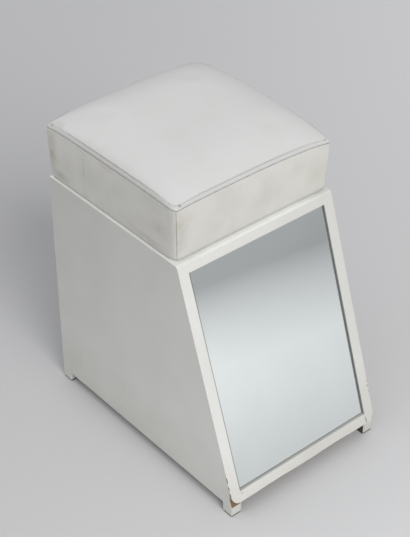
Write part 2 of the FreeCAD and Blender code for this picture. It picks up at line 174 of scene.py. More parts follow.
box = {
    "width": 300, "height": 400, "topDepth": 305, "baseDepth": 432,
    "panelGap": 18.5, "baseGap": 25.5, "side": 18, "board": 16, "lipping": 6,
    "nose": 5, "corner": 16, "arris": 0.4,
    "recess": 4, "glass": 4, "glassGap": 0.75, "glassArris": 0.3,
    "foot": 20, "footArris": 0.8, "pad": 2.5, "padInset": 0.5, "padCorner": 2, "padEdge": 0.3,
}
halfWidth = box["width"] / 2
innerX = halfWidth - box["side"]
backY = box["baseDepth"] / 2
topFrontY = backY - box["topDepth"]
run = box["baseDepth"] - box["topDepth"]
rise = box["height"] - box["baseGap"]
slopeLength = math.hypot(run, rise)
slopeDown = np.array([0, -run, -rise]) / slopeLength
slopeIn = np.array([0, rise, -run]) / slopeLength
slopeTop = np.array([0, topFrontY, box["height"]])
topUnderside = box["height"] - box["board"]
bottomTopside = box["baseGap"] + box["board"]


def frontY(height, depth):  # y of the plane that lies depth behind the sloping front
    return topFrontY - (box["height"] - height) * run / rise + depth * slopeLength / rise


def downAt(height, depth):  # how far down the slope that plane reaches a height
    return (box["height"] - height + slopeIn[2] * depth) / -slopeDown[2]


def acrossX(rings):  # (y, z, x) to (x, y, z)
    return rings[..., [2, 0, 1]]


def onSlope(rings):  # (x, way down the slope, depth behind it) to (x, y, z)
    x, down, depth = np.moveaxis(rings, -1, 0)
    flat = slopeTop + down[..., None] * slopeDown + depth[..., None] * slopeIn
    flat[..., 0] = x
    return flat


# Camera, floor and light

camera = {
    "azimuth": -40.33, "elevation": 36.727, "target": (0, 111, 135), "slide": (54.8, 61.6),
    "distance": 2359.2, "lens": 96.31, "sensor": 36,
}


def addCamera():
    turn, lift = math.radians(camera["azimuth"]), math.radians(camera["elevation"])
    back = Vector((math.sin(turn) * math.cos(lift), -math.cos(turn) * math.cos(lift), math.sin(lift)))
    right = Vector((math.cos(turn), math.sin(turn), 0))
    up = back.cross(right)
    data = bpy.data.cameras.new("camera")
    data.lens, data.sensor_width = camera["lens"], camera["sensor"]
    seer = bpy.data.objects.new("camera", data)
    bpy.context.collection.objects.link(seer)
    aim = Vector(camera["target"]) + right * camera["slide"][0] + up * camera["slide"][1]
    seer.matrix_world = Matrix.Translation((aim + back * camera["distance"]) * mm) @ Matrix(
        (right, up, back)).transposed().to_4x4()
    bpy.context.scene.camera = seer


# The paper's tones, and its levels at the left and right, each from the front to the back: painted light
# falloff, darker to the back and the left and lighter at the front right, for the lamps' light falling off.
# Distances are in metres from the middle: away from the camera for the front, the back and the near fade,
# and to the right for the rest.
floor = {
    "halfSize": 9000, "front": "#ffffff", "back": "#cdcdcf", "frontAt": -2.4, "backAt": 0.7,
    "left": (0.66, 0.75), "right": (1.35, 0.95), "leftAt": -0.6, "rightAt": 1.0,
    "fadeAt": 1.25, "fadeEnd": 2.9, "faded": 0.40, "nearAt": -0.9, "nearEnd": -2.6, "nearFaded": 0.55,
    "roughness": 0.9, "specular": 0.15,
}
sky = {"level": 0.18, "colour": "#f6f7f8", "seen": "#c8c8c9"}
suns = {  # level, softness in degrees, direction it comes from, colour
    "key": (2.11, 34, (-0.16, -0.80, 0.59), "#fffefc"),
    "ceiling": (1.57, 110, (-0.25, 0.20, 0.95), "#fdfeff"),
}


def floorPaperWithPaintedFalloff():
    # Matt studio paper with painted light falloff: darker towards the back and the left, and painted darker
    # further off, so it never glares.
    material, tree, shader, place = newMaterial("matt floor paper with painted falloff")
    turn = (0, 0, -math.radians(camera["azimuth"]))
    turned = addNode(tree, "Mapping", {"vector_type": "POINT", "Vector": place, "Rotation": turn})
    apart = addNode(tree, "SeparateXYZ", {"Vector": turned})
    sideways, away = apart.outputs["X"], apart.outputs["Y"]
    back = addNode(tree, "MapRange", {"interpolation_type": "SMOOTHSTEP", "Value": away,
                                      "From Min": floor["frontAt"], "From Max": floor["backAt"]})
    ends = {}
    for side in ("left", "right"):
        atFront, atBack = floor[side]
        ends[side] = addNode(tree, "MapRange", {"Value": back, "To Min": atFront, "To Max": atBack})
    across = addNode(tree, "MapRange", {"interpolation_type": "SMOOTHSTEP", "Value": sideways,
                                        "From Min": floor["leftAt"], "From Max": floor["rightAt"],
                                        "To Min": ends["left"], "To Max": ends["right"]})
    tone = addNode(tree, "MixRGB", {"Fac": back, "Color1": floor["front"], "Color2": floor["back"]})
    far = addNode(tree, "MapRange", {"Value": sideways, "From Min": floor["fadeAt"],
                                     "From Max": floor["fadeEnd"], "To Min": 1.0, "To Max": floor["faded"]})
    near = addNode(tree, "MapRange", {"Value": away, "From Min": floor["nearAt"],
                                      "From Max": floor["nearEnd"], "To Min": 1.0,
                                      "To Max": floor["nearFaded"]})
    fade = addNode(tree, "Math", {"operation": "MULTIPLY", 0: far, 1: near})
    level = addNode(tree, "Math", {"operation": "MULTIPLY", 0: across, 1: fade})
    both = addNode(tree, "VectorMath", {"operation": "SCALE", 0: tone, "Scale": level})
    setNode(tree, shader, {"Base Color": both, "Roughness": floor["roughness"],
                           "Specular IOR Level": floor["specular"]})
    return material


def addFloor():
    half = floor["halfSize"] * mm
    corners = [(-half, -half, 0), (half, -half, 0), (half, half, 0), (-half, half, 0)]
    mesh = bpy.data.meshes.new("floor")
    mesh.from_pydata(corners, [], [(0, 1, 2, 3)])
    mesh.materials.append(floorPaperWithPaintedFalloff())
    ground = bpy.data.objects.new("floor", mesh)
    bpy.context.collection.objects.link(ground)


def addLight():
    world = bpy.data.worlds.new("studio")
    bpy.context.scene.world = world
    world.use_nodes = True
    tree = world.node_tree
    light = tree.nodes["Background"]
    setNode(tree, light, {"Color": sky["colour"], "Strength": sky["level"]})
    seen = addNode(tree, "Background", {"Color": sky["seen"], "Strength": 1.0})
    path = addNode(tree, "LightPath", {})
    direct = addNode(tree, "Math", {"operation": "MAXIMUM", 0: path.outputs["Is Camera Ray"],
                                    1: path.outputs["Is Glossy Ray"]})
    shown = addNode(tree, "Math", {"operation": "MAXIMUM", 0: direct,
                                   1: path.outputs["Is Transmission Ray"]})
    mixed = addNode(tree, "MixShader", {0: shown, 1: light, 2: seen})
    setNode(tree, tree.nodes["World Output"], {"Surface": mixed})
    for name, (strength, softness, comesFrom, colour) in suns.items():
        data = bpy.data.lights.new(name, "SUN")
        data.energy, data.angle = strength, math.radians(softness)
        data.color = hexColour(colour)[:3]
        lamp = bpy.data.objects.new(name, data)
        lamp.visible_glossy = name != "key"  # the mirror doesn't show it as a white disc
        lamp.matrix_world = Vector(comesFrom).to_track_quat("Z", "Y").to_matrix().to_4x4()
        bpy.context.collection.objects.link(lamp)


addCamera()
addFloor()
addLight()
scene = bpy.context.scene
scene.view_settings.view_transform = "Standard"
print("camera, floor and light made")


# Finishes of the box

paint = {
    "white": "#ddddda", "shade": "#c8c8c4", "rimHighlight": "#e2e2e0", "dirt": "#a9a396", "crackAndShade": "#4c4538",
    # the bare board's browns are real bare board, also painted darker as painted shade on the bare corner
    "board": "#4d3b2b", "boardLight": "#9a7f5f", "recessGreyLevel": "#a9aca9", "recessGreyUpright": "#90948f",
    # sizes of the patterns, and how far the brush draws its lines out
    "brush": 1.6, "drift": 70, "orangePeel": 2.5, "drawnOut": 0.06,
    # painted light falloff: how much greyer each metre makes it, to the right, and on the left face across,
    # back and up, for the lamps' light falling off; the drift's greying is real unevenness. Then the range,
    # and how deep the left face goes
    "paintedFalloffRight": 1.7, "paintedFalloffSide": (0, 1.6, 1.1), "greyDrift": 0.4, "greyFrom": -0.2, "greyTo": 0.65,
    "leftFace": (1.5, 0.3),
    # where the painted highlight on the top rim lies: how far below the top, and where it ends across
    "rimBelow": (3.0, 0.2), "rimEnds": (132, 80), "dirtHigh": 120, "dirtMost": 0.5,
    "sightLine": 1.1, "wallReach": 0.16, "ragged": 0.35, "wornEdge": (0.3, 0.42),
    "bareInset": 0.3, "bareReach": 0.12,
    "roughness": (0.36, 0.5), "bareRougher": 0.4, "relief": 0.06, "chipDeep": 5.0,
}
# places where the paint has chipped off: across, down the slope, behind it, and the three radii
chips = [
    ((-150, 384, 1), (2.4, 3.2, 3.0)), ((-142, 393, 3), (8.0, 3.6, 3.4)), ((-129, 382, 0), (1.2, 2.0, 1.5)),
    ((150, 326, 0), (1.6, 3.0, 2.0)), ((148.5, 334.5, 0), (1.8, 2.0, 1.6)), ((150, 344, 0), (1.6, 3.2, 2.0)),
    ((-100, 396, 0), (9, 2.0, 2.0)), ((82, 396.5, 0), (26, 2.6, 2.6)),
]
# places where it has cracked and holds dirt, on the left strip and at the rail's right joint, and a
# painted shadow line along the rail's whole lower edge, for the shade under the box
cracksAndShadowLine = [
    ((-150, 350, 0.6), (1.0, 9.0, 1.6)), ((-150, 364, 0.6), (0.9, 6.0, 1.6)),
    ((-150, 377, 1), (1.2, 9.0, 2.2)),
    # the rail's two long entries are the painted shadow line; the last one is the crack at its right joint
    ((-60, 395.6, 0), (74, 1.9, 1.9)), ((60, 395.6, 0), (74, 1.9, 1.9)), ((133, 389, 0), (1.1, 9.0, 1.6)),
]


def paintToneAndFalloff(tree, place, apart, drift):
    # White to a greyer shade, unevenly, and with painted light falloff: greyer towards the right, and on
    # the left face towards its back and top too.
    inside, outside = [(d - halfWidth) * mm for d in paint["leftFace"]]
    outer = addNode(tree, "MapRange", {"Value": apart.outputs["X"], "From Min": inside,
                                       "From Max": outside})
    slant = addNode(tree, "VectorMath", {"operation": "DOT_PRODUCT", 0: place, 1: paint["paintedFalloffSide"]})
    grey = addNode(tree, "Math", {"operation": "MULTIPLY", 0: slant.outputs["Value"], 1: outer})
    grey = addNode(tree, "Math", {"operation": "MULTIPLY_ADD", 0: apart.outputs["X"], 1: paint["paintedFalloffRight"],
                                  2: grey})
    grey = addNode(tree, "Math", {"operation": "MULTIPLY_ADD", 0: drift, 1: paint["greyDrift"], 2: grey})
    share = addNode(tree, "MapRange", {"Value": grey, "From Min": paint["greyFrom"],
                                       "From Max": paint["greyTo"]})
    return addNode(tree, "MixRGB", {"Fac": share, "Color1": paint["white"], "Color2": paint["shade"]})


def paintedRimHighlight(tree, apart, colour):  # painted highlight on the top rim, weaker at its ends
    low, high = [(box["height"] - d) * mm for d in paint["rimBelow"]]
    rimHighlight = addNode(tree, "MapRange", {"Value": apart.outputs["Z"], "From Min": low, "From Max": high})
    beside = addNode(tree, "Math", {"operation": "ABSOLUTE", 0: apart.outputs["X"]})
    outer, inner = [x * mm for x in paint["rimEnds"]]
    inwards = addNode(tree, "MapRange", {"Value": beside, "From Min": outer, "From Max": inner})
    share = addNode(tree, "Math", {"operation": "MULTIPLY", 0: rimHighlight, 1: inwards})
    return addNode(tree, "MixRGB", {"Fac": share, "Color1": colour, "Color2": paint["rimHighlight"]})


def lowDirt(tree, apart, drift, colour):  # dirt low down near the floor, in patches
    low = addNode(tree, "MapRange", {"Value": apart.outputs["Z"], "From Min": paint["dirtHigh"] * mm,
                                     "From Max": 0.0, "To Max": paint["dirtMost"]})
    share = addNode(tree, "Math", {"operation": "MULTIPLY", 0: low, 1: drift})
    return addNode(tree, "MixRGB", {"Fac": share, "Color1": colour, "Color2": paint["dirt"]})


def slopePlace(tree, place, apart):  # the same place as across, down the slope and behind it
    local = addNode(tree, "VectorMath", {"operation": "SUBTRACT", 0: place, 1: slopeTop * mm})
    ways = [addNode(tree, "VectorMath", {"operation": "DOT_PRODUCT", 0: local, 1: way})
            for way in (slopeDown, slopeIn)]
    down, depth = [way.outputs["Value"] for way in ways]
    return addNode(tree, "CombineXYZ", {0: apart.outputs["X"], 1: down, 2: depth}), down, depth


def recessWalls(tree, apart, depth, along, colour):
    # The walls of the mirror's recess are painted grey from its sight line inwards, lighter on the level
    # walls than on the upright ones, and the faces of the feet that look inwards are painted dark, painted
    # shade for the shadow under the box.
    inner = addNode(tree, "Math", {"operation": "GREATER_THAN", 0: depth, 1: paint["sightLine"] * mm})
    level = apart.outputs["Z"]
    walls = [(level, topUnderside, "recessGreyLevel"), (level, bottomTopside, "recessGreyLevel")]
    if along == "z":
        beside = addNode(tree, "Math", {"operation": "ABSOLUTE", 0: apart.outputs["X"]})
        # the inner faces of the feet take painted shade in the crack colour
        walls = [(beside, innerX, "recessGreyUpright"), (beside, halfWidth - box["foot"], "crackAndShade")]
    for source, wallAt, tint in walls:
        wall = addNode(tree, "Math", {"operation": "COMPARE", 0: source, 1: wallAt * mm,
                                      2: paint["wallReach"] * mm})
        share = addNode(tree, "Math", {"operation": "MULTIPLY", 0: wall, 1: inner})
        colour = addNode(tree, "MixRGB", {"Fac": share, "Color1": colour, "Color2": paint[tint]})
    return colour


def wornShare(tree, slope, ragged, places):  # 1 in the worn places, with ragged edges
    worn = addNode(tree, "Value", {})
    for centre, radii in places:
        near = spot(tree, slope, centre, radii)
        worn = addNode(tree, "Math", {"operation": "MAXIMUM", 0: worn, 1: near})
    torn = addNode(tree, "Math", {"operation": "ADD", 0: worn, 1: ragged})
    low, high = paint["wornEdge"]
    return addNode(tree, "MapRange", {"Value": torn, "From Min": low, "From Max": high})


def bareEdge(tree, apart, down, depth):
    # 1 where the rounded corner of the left strip leaves the board of the side panel's front edge bare.
    middle, half = -(halfWidth + innerX) / 2, box["side"] / 2 - paint["bareInset"]
    lowest, behind = (slopeLength - 2 * box["corner"]) * mm, box["lipping"] * mm
    reach = paint["bareReach"] * mm
    front = addNode(tree, "Math", {"operation": "COMPARE", 0: depth, 1: behind, 2: reach})
    across = addNode(tree, "Math", {"operation": "COMPARE", 0: apart.outputs["X"], 1: middle * mm,
                                    2: half * mm})
    low = addNode(tree, "Math", {"operation": "GREATER_THAN", 0: down, 1: lowest})
    both = addNode(tree, "Math", {"operation": "MULTIPLY", 0: front, 1: across})
    return addNode(tree, "Math", {"operation": "MULTIPLY", 0: both, 1: low})


def brushedPaint(name, along):
    # Satin oil paint brushed on board: a soft broad shine over faint brush lines that run with the board,
    # slightly uneven white, greyer to the right and up the back of the left face as painted light falloff,
    # a painted highlight on the level top rim, dirt low down near the floor, grey recess walls, cracks
    # with a painted shadow line under the rail, painted shade on the feet's inner faces, and brown board,
    # painted darker for shade as well, in the chips at the lower corners.
    material, tree, shader, place = newMaterial(name)
    stretch = {"x": (paint["drawnOut"], 1, 1), "z": (1, 1, paint["drawnOut"])}[along]
    brushed = addNode(tree, "Mapping", {"Vector": place, "Scale": stretch})
    patterns = (("brush", 2.0, brushed), ("drift", 3.0, place), ("orangePeel", 2.0, place))
    lines, drift, peel = [addNode(tree, "TexNoise", {"Vector": vector, "Scale": perMetre(paint[key]),
                                                     "Detail": detail}) for key, detail, vector in patterns]
    apart = addNode(tree, "SeparateXYZ", {"Vector": place})
    colour = paintToneAndFalloff(tree, place, apart, drift)
    # a painted highlight on the level top rim
    if along == "x":
        colour = paintedRimHighlight(tree, apart, colour)
    colour = lowDirt(tree, apart, drift, colour)
    slope, down, depth = slopePlace(tree, place, apart)
    colour = recessWalls(tree, apart, depth, along, colour)
    ragged = addNode(tree, "MapRange", {"Value": peel, "To Min": -paint["ragged"],
                                        "To Max": paint["ragged"]})
    # cracks, and the painted shadow line under the rail
    crackedAndShaded = wornShare(tree, slope, ragged, cracksAndShadowLine)
    colour = addNode(tree, "MixRGB", {"Fac": crackedAndShaded, "Color1": colour, "Color2": paint["crackAndShade"]})
    chipped = wornShare(tree, slope, ragged, chips)
    bare = bareEdge(tree, apart, down, depth)
    gone = addNode(tree, "Math", {"operation": "MAXIMUM", 0: chipped, 1: bare})
    # bare board in the chips, its brown painted darker for shade as well
    board = addNode(tree, "MixRGB", {"Fac": peel, "Color1": paint["board"], "Color2": paint["boardLight"]})
    final = addNode(tree, "MixRGB", {"Fac": gone, "Color1": colour, "Color2": board})
    smooth, rough = paint["roughness"]
    dull = addNode(tree, "MapRange", {"Value": drift, "To Min": smooth, "To Max": rough})
    dull = addNode(tree, "Math", {"operation": "MULTIPLY_ADD", 0: gone, 1: paint["bareRougher"], 2: dull})
    relief = addNode(tree, "Math", {"operation": "ADD", 0: lines, 1: peel})
    relief = addNode(tree, "Math", {"operation": "MULTIPLY_ADD", 0: gone, 1: -paint["chipDeep"], 2: relief})
    bump = addNode(tree, "Bump", {"Height": relief, "Strength": 0.25, "Distance": paint["relief"] * mm})
    setNode(tree, shader, {"Base Color": final, "Roughness": dull, "Normal": bump})
    return material


def plainFinish(name, colours, size, rough, stretch=(1, 1, 1), metallic=0.0, relief=0.2):
    # One pattern of two colours at a real size in mm, drawn out along the grain, with its relief in mm.
    material, tree, shader, place = newMaterial(name)
    drawn = addNode(tree, "Mapping", {"Vector": place, "Scale": stretch})
    grain = addNode(tree, "TexNoise", {"Vector": drawn, "Scale": perMetre(size), "Detail": 5.0,
                                       "Distortion": 0.4})
    share = addNode(tree, "MapRange", {"Value": grain, "From Min": 0.35, "From Max": 0.65})
    colour = addNode(tree, "MixRGB", {"Fac": share, "Color1": colours[0], "Color2": colours[1]})
    level = addNode(tree, "MapRange", {"Value": grain, "To Min": rough[0], "To Max": rough[1]})
    bump = addNode(tree, "Bump", {"Height": grain, "Strength": 0.4, "Distance": relief * mm})
    setNode(tree, shader, {"Base Color": colour, "Roughness": level, "Metallic": metallic, "Normal": bump})
    return material


# Planed softwood shows pale stripes along its length, plywood a broad sliced figure and particle board short
# flakes. Zinc plate is a soft grey shine, the staple wire is brighter, and the foam tape is dull white.
softwood = ("#d8b98a", "#b98f5c")
softwoodUpright = plainFinish("planed softwood, upright", softwood, 3.5, (0.6, 0.75), (1, 1, 0.05))
softwoodLevel = plainFinish("planed softwood, level", softwood, 3.5, (0.6, 0.75), (0.05, 1, 1))
birchPly = plainFinish("birch plywood", ("#dcc39b", "#c7a676"), 9, (0.55, 0.7), (0.12, 1, 1))
particleBoard = plainFinish("bare particle board", ("#8b6c49", "#5f4730"), 3.0, (0.8, 0.9), (0.5, 1, 1),
                            relief=0.4)
zincPlate = plainFinish("zinc plated steel", ("#b9bcbe", "#9fa3a6"), 2.0, (0.3, 0.45), metallic=1.0,
                        relief=0.03)
stapleWire = plainFinish("drawn steel wire", ("#c3c5c6", "#a9acae"), 0.8, (0.25, 0.4), metallic=1.0,
                         relief=0.02)
foamTape = plainFinish("foam mounting tape", ("#dfddd6", "#c9c6bc"), 1.2, (0.85, 0.95))
hiddenFinishes = {
    "carcass_dowels": softwoodLevel, "glue_blocks": softwoodLevel, "foot_screws": zincPlate,
    "mirror_tape": foamTape, "mirror_backing_board": birchPly, "mirror_batten": softwoodLevel,
    "mirror_batten_left": softwoodUpright, "mirror_batten_right": softwoodUpright,
    "backing_board_screws": zincPlate, "batten_screws": zincPlate, "cover_staples": stapleWire,
    "seat_screws": zincPlate,
}


def finishHiddenNodes():  # the CAD nodes that stay as they are; the longest matching start of a name decides
    for name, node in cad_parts.items():
        starts = [key for key in hiddenFinishes if name.startswith(key)]
        if starts:
            node.data.materials.clear()
            node.data.materials.append(hiddenFinishes[max(starts, key=len)])
            print("finished", name)


finishHiddenNodes()
uprightPaint = brushedPaint("brushed satin paint, upright", "z")
levelPaint = brushedPaint("brushed satin paint, level", "x")


# Boards

def boardPiece(name, corners, radii, low, high, finish, bridged=0):
    # Its ends have the arris. Bridged ends, 1 for the low one or 2 for both, reach over the next piece's
    # arris, as paint does.
    rings = slabRings(corners, radii, low, high, box["arris"])
    if bridged:
        rings[:4, :, 2] -= box["arris"]
    if bridged == 2:
        rings[4:, :, 2] += box["arris"]
    addFlatPiece(name, acrossX(rings), finish)


def sideOutline():
    lipping, top, low = box["lipping"], box["height"], box["panelGap"]
    return [(backY, low), (backY, top), (frontY(top, lipping), top), (frontY(low, lipping), low)]


def levelOutline(low, high):
    lipping = box["lipping"]
    inside = backY - box["board"]
    return [(frontY(low, lipping), low), (inside, low), (inside, high), (frontY(high, lipping), high)]


def stripOutline(low, high):
    lipping = box["lipping"]
    return [(frontY(low, 0), low), (frontY(low, lipping), low), (frontY(high, lipping), high),
            (frontY(high, 0), high)]


def addBoards():
    arris, top = box["arris"], box["height"]
    sides = {"side_panel_left": (-halfWidth, -innerX), "side_panel_right": (innerX, halfWidth)}
    for name, (low, high) in sides.items():
        boardPiece(name, sideOutline(), arris, low, high, uprightPaint)
    boardPiece("top_board", levelOutline(topUnderside, top), arris, -innerX, innerX, levelPaint)
    boardPiece("bottom_board", levelOutline(box["baseGap"], bottomTopside), arris, -innerX, innerX,
               particleBoard)
    inside = backY - box["board"]
    back = [(inside, box["baseGap"]), (backY, box["baseGap"]), (backY, top), (inside, top)]
    boardPiece("back_panel", back, arris, -innerX, innerX, uprightPaint)
    nosed = np.array([arris, arris, arris, box["nose"]])
    boardPiece("lipping_top", stripOutline(topUnderside, top), nosed, -innerX, innerX, levelPaint, bridged=2)
    rail = stripOutline(box["baseGap"], bottomTopside)
    boardPiece("lipping_bottom", rail, arris, -innerX, innerX, levelPaint, bridged=1)


def sideLippingRings():
    # Rings through the thickness of the right-hand strip, each an outline on the slope. The top end follows
    # the nose's arc and then the level top, the lower end is level, and the lower outer corner is rounded.
    arris, nose, thick = box["arris"], box["nose"], box["lipping"]
    slant = run / rise
    half = math.acos(-slopeDown[1]) / 2
    along = nose * math.tan(half)
    arc = np.linspace(0, 2 * half, 9)  # from the front face round to the top face
    noseDepth = nose * (1 - np.cos(arc))
    noseDown = along - nose * np.sin(arc)
    edge = np.linspace(0, math.pi / 2, 4)
    edgeDepth = arris * (1 - np.cos(edge))
    edgeInset = arris * (1 - np.sin(edge))
    depths = np.concatenate([edgeDepth, noseDepth[1:], thick - edgeDepth[::-1]])
    insets = np.concatenate([edgeInset, 0 * noseDepth[1:], edgeInset[::-1]])
    order = np.argsort(depths)
    rings = []
    for depth, inset in zip(depths[order], insets[order]):
        top = np.interp(depth, noseDepth, noseDown) if depth < noseDepth[-1] else -slant * depth
        low = slopeLength - slant * depth
        corners = [(innerX, top), (halfWidth, top), (halfWidth, low), (innerX, low)]
        ring = outlineRing(corners, np.array([arris, arris, box["corner"], arris]), inset, 14)
        rings.append(np.insert(ring, 2, depth, axis=1))
    return np.stack(rings)


def addSideLippings():
    rings = onSlope(sideLippingRings())
    for name, sign in (("lipping_right", 1), ("lipping_left", -1)):
        addFlatPiece(name, rings, uprightPaint, sign)


def addFeet():  # each a block with a thinner pad under it
    half, arris = box["foot"] / 2, box["footArris"]
    padHalf, padTop = half - box["padInset"], box["pad"]
    x = halfWidth - half
    for row, y in {"front": frontY(box["panelGap"], box["lipping"]) + half, "back": backY - half}.items():
        block = slabRings(rectangle(x, y, half, half), arris, padTop, box["panelGap"], arris / 2)
        glide = slabRings(rectangle(x, y, padHalf, padHalf), box["padCorner"], 0, padTop, box["padEdge"])
        for side, sign in (("right", 1), ("left", -1)):
            addFlatPiece(f"foot_{row}_{side}", block, uprightPaint, sign)
            addFlatPiece(f"glide_{row}_{side}", glide, rubberPad, sign)


pad = {"tone": "#151413", "dust": "#33312d", "dustSize": 4, "roughness": 0.7, "relief": 0.2}


def dustyRubber():
    # Moulded black rubber: nearly matt, dusty on its faces.
    material, tree, shader, place = newMaterial("dusty black rubber")
    dust = addNode(tree, "TexNoise", {"Vector": place, "Scale": perMetre(pad["dustSize"]), "Detail": 4.0})
    colour = addNode(tree, "MixRGB", {"Fac": dust, "Color1": pad["tone"], "Color2": pad["dust"]})
    bump = addNode(tree, "Bump", {"Height": dust, "Strength": 0.3, "Distance": pad["relief"] * mm})
    setNode(tree, shader, {"Base Color": colour, "Roughness": pad["roughness"], "Normal": bump})
    return material


rubberPad = dustyRubber()
addBoards()
addSideLippings()
addFeet()
print("box made")


# Mirror

mirror = {
    "tone": "#f4f9f9", "cloud": "#eef3f3", "cloudSize": 60, "roughness": (0.01, 0.05),
    "edge": "#7d837f", "edgeShare": 0.75, "edgeAt": (-128.6, -127.6),  # a darker line along the left side
}


def silveredGlass():
    # Old float glass silvered on its back: a clear reflection, faintly green and a little cloudy.
    material, tree, shader, place = newMaterial("silvered float glass")
    cloud = addNode(tree, "TexNoise", {"Vector": place, "Scale": perMetre(mirror["cloudSize"]),
                                       "Detail": 4.0})
    colour = addNode(tree, "MixRGB", {"Fac": cloud, "Color1": mirror["tone"], "Color2": mirror["cloud"]})
    apart = addNode(tree, "SeparateXYZ", {"Vector": place})
    outer, inner = [x * mm for x in mirror["edgeAt"]]
    left = addNode(tree, "MapRange", {"Value": apart.outputs["X"], "From Min": outer, "From Max": inner,
                                      "To Min": mirror["edgeShare"], "To Max": 0.0})
    edged = addNode(tree, "MixRGB", {"Fac": left, "Color1": colour, "Color2": mirror["edge"]})
    clear, dull = mirror["roughness"]
    rough = addNode(tree, "MapRange", {"Value": cloud, "To Min": clear, "To Max": dull})
    setNode(tree, shader, {"Base Color": edged, "Metallic": 1.0, "Roughness": rough})
    return material


mirrorFinish = silveredGlass()


def addMirror():
    near, far, gap = box["recess"], box["recess"] + box["glass"], box["glassGap"]
    half = innerX - gap
    first, last = downAt(topUnderside, near) + gap, downAt(bottomTopside, far) - gap
    corners = [(-half, first), (half, first), (half, last), (-half, last)]
    rings = slabRings(corners, box["glassArris"], near, far, box["glassArris"])
    addFlatPiece("mirror_pane", onSlope(rings), mirrorFinish)


addMirror()
print("mirror made")


# Cushion

cushion = {
    "halfX": 147, "halfY": 147.5, "middleY": 66.5, "base": 400, "grid": 81,
    # how far the sides draw in and the top's edge bows out, and the crown's height and form
    "draw": 1.0, "bow": 0.7, "crown": 17.0, "squareness": 4.5, "fullness": 0.8,
    # how far the back and right edges rise in their middles, and the radius that the other corners stay near
    "backLift": 8.0, "rightLift": 8.6, "otherCorner": 5,
    # how far the seam at the front left corner stands in from the left, and forward: at the foot, at the top
    "cornerPush": ((2.0, 2.6), (5.0, -0.8)), "cornerRise": 0.9,
    # how far the edges sink at the back corners, and how much more at the front ones and the front right one;
    # then the heights between which the sinking and lifting set in, and the topstitching nears the seam
    "backSink": 0.8, "frontSink": 1.0, "rightSink": 5.0, "liftsFrom": (45, 85), "closesFrom": (88, 94),
    # heights and insets of the seam and the topstitching; the top's edge has its corner radius and flare too
    "seam": (87.3, 1.3), "topstitch": (94.3, 2.6), "topEdge": (95.6, 3.9, 12, 1.0), "under": (0, 5, 16, 0),
    "besideSeam": 0.992, "cornerSeamDeep": 0.7, "tuck": 3,
    "markWidths": {"seam": 0.6, "topstitch": 0.5, "grime": 3.5, "foot": 5},
    "pitch": 5.0, "stitch": 3.6, "thread": 0.32,
    "pressure": 4.0, "frames": 20, "stiffness": 25, "bending": 1.2, "quality": 6,
    "mostMove": 1.8, "smoothings": 12, "subdivisions": 1,
}
# from the box up: height, inset from the sides, corner radius, how far the corners stand out, and 1 if the
# cloth is held
cushionRows = [
    (0.0, 2.2, 16, 0, 1), (0.8, 0.8, 16, 0, 1), (2.4, 0.0, 16, 0, 1),
    (8, -0.4, 15, 0, 0), (16, -0.8, 14, 0.1, 0), (25, -1.1, 13, 0.3, 0), (34, -1.2, 12, 0.5, 0),
    (43, -1.2, 11, 0.9, 0), (52, -1.2, 10, 1.3, 0), (60, -1.0, 9, 1.8, 0), (68, -0.7, 8, 2.3, 0),
    (75, -0.3, 7, 2.8, 0), (79.5, -0.1, 6, 3.1, 0), (83, 0.0, 6, 3.3, 0), (85.0, 0.05, 5, 3.4, 1),
    (86.1, 0.3, 5, 3.4, 1), (86.8, 0.9, 5, 3.3, 1), (87.3, 1.3, 5, 3.2, 1), (87.7, 0.8, 5, 3.2, 1),
    (88.3, 0.4, 5, 3.1, 1), (89.3, 0.2, 5, 3.0, 1), (90.4, 0.3, 5, 2.9, 1), (91.6, 0.6, 5, 2.7, 1),
    (92.7, 1.1, 5, 2.5, 1), (93.6, 1.7, 5, 2.3, 1), (94.1, 2.2, 6, 2.1, 1), (94.3, 2.6, 6, 1.9, 1),
    (94.6, 3.1, 8, 1.6, 1), (95.0, 3.5, 10, 1.3, 0),
]


def cornerShare(u, v):  # 1 at the front left corner, and about a third 8 mm away along either side
    return ((1 - u) * (1 - v) / 4) ** 36


def cushionPoint(u, v, height, inset, radius, flare, bow):
    # A square from -1 to 1 both ways, as a square with rounded corners. Towards a corner the point moves in
    # along the diagonal by what an arc of the radius cuts off, 0.293 of it, and out by the flare, and between
    # the corners the sides bow out or in. The front left corner is the round one, and the others stay near a
    # small radius. At the round one the left panel also comes a little way round onto the front.
    near, nearFrontLeft = np.abs(u * v), (1 - u) * (1 - v) / 4
    halfX, halfY, small = cushion["halfX"], cushion["halfY"], cushion["otherCorner"]
    radius = small + (radius - small) * (0.15 + 0.85 * nearFrontLeft)
    cutOff = 0.293 * radius * near ** (1.6 * halfX / radius)
    change = (flare * near ** 9 - cutOff) / halfX
    x = (halfX - inset) * u * (1 + change) + bow * u * (1 - v ** 2)
    y = (halfY - inset) * v * (1 + change) + bow * v * (1 - u ** 2)
    pushed, up = cornerShare(u, v), np.clip(height / cushion["seam"][0], 0, 1)
    (lowIn, lowForward), (highIn, highForward) = cushion["cornerPush"]
    x = x + pushed * (lowIn + (highIn - lowIn) * up)
    y = y - pushed * (lowForward + (highForward - lowForward) * up)
    return np.stack([x, y + cushion["middleY"], cushion["base"] + height + 0 * x], -1)


